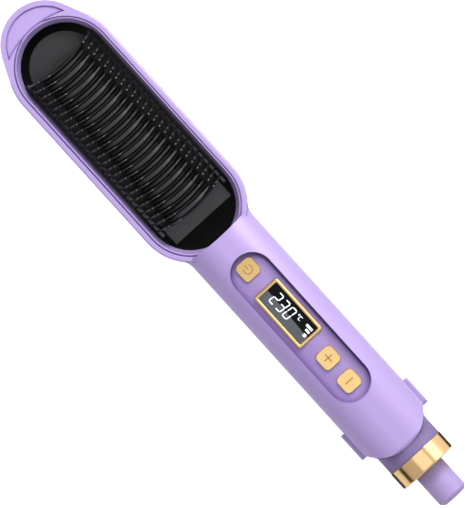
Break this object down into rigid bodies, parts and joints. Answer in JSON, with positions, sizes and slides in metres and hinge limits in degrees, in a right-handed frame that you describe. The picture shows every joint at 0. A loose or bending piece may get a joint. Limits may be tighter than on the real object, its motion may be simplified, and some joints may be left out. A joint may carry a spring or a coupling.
{
  "type": "steam hair straightener brush",
  "caption": "Hand-held hot comb brush with a long oval head, arched heated bars between comb blades, a control handle with display, a water tank and a swivel tail.",
  "frame": {"origin": "on the floor under the middle of the brush's overall length, with the brush lying on its back", "axes": "+X from the head's tip to the tail, +Z out of the comb and the control panel, +Y to the left seen from the tip with the comb up"},
  "size_m": [0.2912, 0.051, 0.031],
  "materials": {
    "lilac_shell": "satin, softly glossy",
    "lilac_rubber": "satin",
    "black_gloss": "high gloss",
    "black_comb": "satin gloss",
    "coated_plate": "dark ceramic coat",
    "gold_plastic": "brushed champagne gold plating",
    "gold_metal": "polished gold anodising",
    "display_panel": "glossy, see-through over the digits",
    "lcd_body": "satin",
    "circuit_board": "satin",
    "switch_body": "matte",
    "screw_steel": "bright",
    "bracket_steel": "satin",
    "spring_steel": "bright",
    "heater_ceramic": "matte",
    "mica_sheet": "matte",
    "fuse_body": "matte",
    "chamber_metal": "cast",
    "wire_red": "satin",
    "wire_black": "satin",
    "pump_body": "matte",
    "silicone_tube": "translucent",
    "tank_plastic": "smoked, glossy",
    "cap_rubber": "matte",
    "contact_brass": "polished"
  },
  "bodies": {
    "root": {"head_frame": "lilac_shell", "funnel_ring": "lilac_shell", "plate_surround": "black_gloss", "heating_plate": "coated_plate", "comb_guard": "black_comb", "back_shell": "lilac_shell", "front_shell": "lilac_shell", "display_bezel": "gold_plastic", "display_window": "display_panel", "lcd_module": "lcd_body", "main_pcb": "circuit_board", "button_switches": "switch_body", "pcb_screws": "screw_steel", "heater_element": "heater_ceramic", "insulation_sheet": "mica_sheet", "heater_bracket": "bracket_steel", "heater_screws": "screw_steel", "thermal_fuse": "fuse_body", "thermistor": "switch_body", "steam_chamber": "chamber_metal", "heater_leads": "wire_red", "power_leads": "wire_black", "water_pump": "pump_body", "suction_tube": "silicone_tube", "steam_tube": "silicone_tube", "tank_seal": "cap_rubber", "release_spring_left": "spring_steel", "release_spring_right": "spring_steel", "housing_screws": "screw_steel", "tail_collar": "lilac_shell", "gold_ring": "gold_metal", "contact_block": "switch_body"},
    "power_button": {"power_button": "gold_plastic"},
    "plus_button": {"plus_button": "gold_plastic"},
    "minus_button": {"minus_button": "gold_plastic"},
    "release_left": {"release_button_left": "lilac_shell"},
    "release_right": {"release_button_right": "lilac_shell"},
    "tank": {"water_tank": "tank_plastic", "tank_cap": "cap_rubber"},
    "swivel": {"swivel_sleeve": "lilac_rubber", "slip_rings": "contact_brass"}
  },
  "joints": [
    {"name": "power_press", "type": "slide", "parent": "root", "child": "power_button", "axis": [0, 0, -1], "range_m": [0, 0.0005], "stiffness_N_per_m": 1200},
    {"name": "plus_press", "type": "slide", "parent": "root", "child": "plus_button", "axis": [0, 0, -1], "range_m": [0, 0.0005], "stiffness_N_per_m": 1200},
    {"name": "minus_press", "type": "slide", "parent": "root", "child": "minus_button", "axis": [0, 0, -1], "range_m": [0, 0.0005], "stiffness_N_per_m": 1200},
    {"name": "release_left_press", "type": "slide", "parent": "root", "child": "release_left", "axis": [0, -1, 0], "range_m": [0, 0.0015], "stiffness_N_per_m": 800, "deforming": ["release_spring_left"]},
    {"name": "release_right_press", "type": "slide", "parent": "root", "child": "release_right", "axis": [0, 1, 0], "range_m": [0, 0.0015], "stiffness_N_per_m": 800, "deforming": ["release_spring_right"]},
    {"name": "tank_slide", "type": "slide", "parent": "root", "child": "tank", "axis": [0, 0, -1], "range_m": [0, 0.02]},
    {"name": "cord_swivel", "type": "hinge", "parent": "root", "child": "swivel", "pos_m": [0.12, 0, 0.0155], "axis": [1, 0, 0], "continuous": true}
  ]
}
